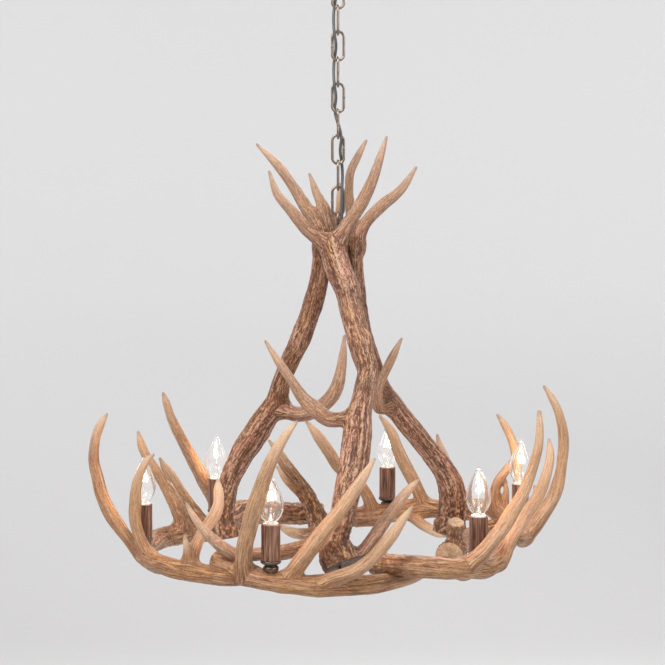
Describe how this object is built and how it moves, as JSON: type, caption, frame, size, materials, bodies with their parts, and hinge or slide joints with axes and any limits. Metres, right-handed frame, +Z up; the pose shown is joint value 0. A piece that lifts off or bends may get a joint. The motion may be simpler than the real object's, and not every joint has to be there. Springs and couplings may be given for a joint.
{
  "type": "antler chandelier",
  "caption": "chain-hung chandelier: interlocked antlers form a ring and uprights that meet at a crown, with candle lamps standing round the ring",
  "frame": {"origin": "middle of the ceiling plane, in the face of the crossbar that lies against the ceiling box; the object hangs below it", "axes": "+Z up out of the ceiling face, -Y towards the viewer of the front, +X to that viewer's right"},
  "size_m": [0.6915, 0.5701, 0.9554],
  "materials": {
    "zinc_steel": "zinc plated",
    "green_screw": "green lacquer",
    "bronze_metal": "aged bronze, rubbed bright on the edges",
    "dark_screws": "black oxide",
    "black_plastic": "moulded",
    "connector_plastic": "moulded",
    "cord_jacket": "grey flexible jacket",
    "antler_dark": "cast antler, grooved and pearled, mauve brown",
    "antler_tan": "cast antler, honey tan with pale tips",
    "antler_rough": "cast antler, rough and dark",
    "cup_bronze": "dark bronze",
    "socket_white": "plain",
    "candle_sleeve": "brown wood-grain",
    "bulb_glass": "clear",
    "bulb_base": "nickelled brass screw shell with a glass stem"
  },
  "bodies": {
    "ceiling": {"ceiling_crossbar": "zinc_steel", "ground_screw": "green_screw", "threaded_nipple": "zinc_steel", "nipple_locknut": "zinc_steel", "canopy": "bronze_metal", "cord_bushing": "black_plastic", "canopy_collar": "bronze_metal", "canopy_loop": "bronze_metal", "wire_connectors": "connector_plastic", "supply_cord": "cord_jacket"},
    "link_01": {"chain_link_01": "bronze_metal"},
    "link_02": {"chain_link_02": "bronze_metal"},
    "link_03": {"chain_link_03": "bronze_metal"},
    "link_04": {"chain_link_04": "bronze_metal"},
    "link_05": {"chain_link_05": "bronze_metal"},
    "link_06": {"chain_link_06": "bronze_metal"},
    "link_07": {"chain_link_07": "bronze_metal"},
    "link_08": {"chain_link_08": "bronze_metal"},
    "link_09": {"chain_link_09": "bronze_metal"},
    "link_10": {"chain_link_10": "bronze_metal"},
    "fixture": {"crown_eye_bolt": "bronze_metal", "crown_hub": "bronze_metal", "crown_hub_nut": "bronze_metal", "crown_bolts": "dark_screws", "upright_front": "antler_dark", "upright_left": "antler_dark", "upright_right": "antler_dark", "ring_front": "antler_tan", "ring_left": "antler_tan", "ring_back_left": "antler_rough", "inner_back": "antler_rough", "ring_back": "antler_tan", "ring_right": "antler_tan", "ring_back_right": "antler_tan", "inner_right": "antler_rough", "joining_screws": "dark_screws", "candle_cups": "cup_bronze", "lamp_sockets": "socket_white", "candle_stems": "zinc_steel", "stem_locknuts": "zinc_steel", "candle_sleeve_1": "candle_sleeve", "candle_sleeve_2": "candle_sleeve", "candle_sleeve_3": "candle_sleeve", "candle_sleeve_4": "candle_sleeve", "candle_sleeve_5": "candle_sleeve", "candle_sleeve_6": "candle_sleeve"},
    "bulb_1": {"bulb_glass_1": "bulb_glass", "bulb_base_1": "bulb_base"},
    "bulb_2": {"bulb_glass_2": "bulb_glass", "bulb_base_2": "bulb_base"},
    "bulb_3": {"bulb_glass_3": "bulb_glass", "bulb_base_3": "bulb_base"},
    "bulb_4": {"bulb_glass_4": "bulb_glass", "bulb_base_4": "bulb_base"},
    "bulb_5": {"bulb_glass_5": "bulb_glass", "bulb_base_5": "bulb_base"},
    "bulb_6": {"bulb_glass_6": "bulb_glass", "bulb_base_6": "bulb_base"}
  },
  "joints": [
    {"name": "top_sway", "type": "hinge", "parent": "ceiling", "child": "link_01", "pos_m": [0, 0, -0.07], "axis": [1, 0, 0], "range_deg": [-12, 12], "deforming": ["supply_cord"]},
    {"name": "sway_01", "type": "hinge", "parent": "link_01", "child": "link_02", "pos_m": [0, 0, -0.107], "axis": [0, 1, 0], "range_deg": [-12, 12], "deforming": ["supply_cord"]},
    {"name": "sway_02", "type": "hinge", "parent": "link_02", "child": "link_03", "pos_m": [0, 0, -0.144], "axis": [1, 0, 0], "range_deg": [-12, 12], "deforming": ["supply_cord"]},
    {"name": "sway_03", "type": "hinge", "parent": "link_03", "child": "link_04", "pos_m": [0, 0, -0.181], "axis": [0, 1, 0], "range_deg": [-12, 12], "deforming": ["supply_cord"]},
    {"name": "sway_04", "type": "hinge", "parent": "link_04", "child": "link_05", "pos_m": [0, 0, -0.218], "axis": [1, 0, 0], "range_deg": [-12, 12], "deforming": ["supply_cord"]},
    {"name": "sway_05", "type": "hinge", "parent": "link_05", "child": "link_06", "pos_m": [0, 0, -0.255], "axis": [0, 1, 0], "range_deg": [-12, 12], "deforming": ["supply_cord"]},
    {"name": "sway_06", "type": "hinge", "parent": "link_06", "child": "link_07", "pos_m": [0, 0, -0.292], "axis": [1, 0, 0], "range_deg": [-12, 12], "deforming": ["supply_cord"]},
    {"name": "sway_07", "type": "hinge", "parent": "link_07", "child": "link_08", "pos_m": [0, 0, -0.329], "axis": [0, 1, 0], "range_deg": [-12, 12], "deforming": ["supply_cord"]},
    {"name": "sway_08", "type": "hinge", "parent": "link_08", "child": "link_09", "pos_m": [0, 0, -0.366], "axis": [1, 0, 0], "range_deg": [-12, 12], "deforming": ["supply_cord"]},
    {"name": "sway_09", "type": "hinge", "parent": "link_09", "child": "link_10", "pos_m": [0, 0, -0.403], "axis": [0, 1, 0], "range_deg": [-12, 12], "deforming": ["supply_cord"]},
    {"name": "fixture_sway", "type": "hinge", "parent": "link_10", "child": "fixture", "pos_m": [0, 0, -0.44], "axis": [1, 0, 0], "range_deg": [-12, 12], "deforming": ["supply_cord"]},
    {"name": "bulb_1_out", "type": "slide", "parent": "fixture", "child": "bulb_1", "axis": [0, 0, 1], "range_m": [0, 0.028]},
    {"name": "bulb_2_out", "type": "slide", "parent": "fixture", "child": "bulb_2", "axis": [0, 0, 1], "range_m": [0, 0.028]},
    {"name": "bulb_3_out", "type": "slide", "parent": "fixture", "child": "bulb_3", "axis": [0, 0, 1], "range_m": [0, 0.028]},
    {"name": "bulb_4_out", "type": "slide", "parent": "fixture", "child": "bulb_4", "axis": [0, 0, 1], "range_m": [0, 0.028]},
    {"name": "bulb_5_out", "type": "slide", "parent": "fixture", "child": "bulb_5", "axis": [0, 0, 1], "range_m": [0, 0.028]},
    {"name": "bulb_6_out", "type": "slide", "parent": "fixture", "child": "bulb_6", "axis": [0, 0, 1], "range_m": [0, 0.028]}
  ]
}
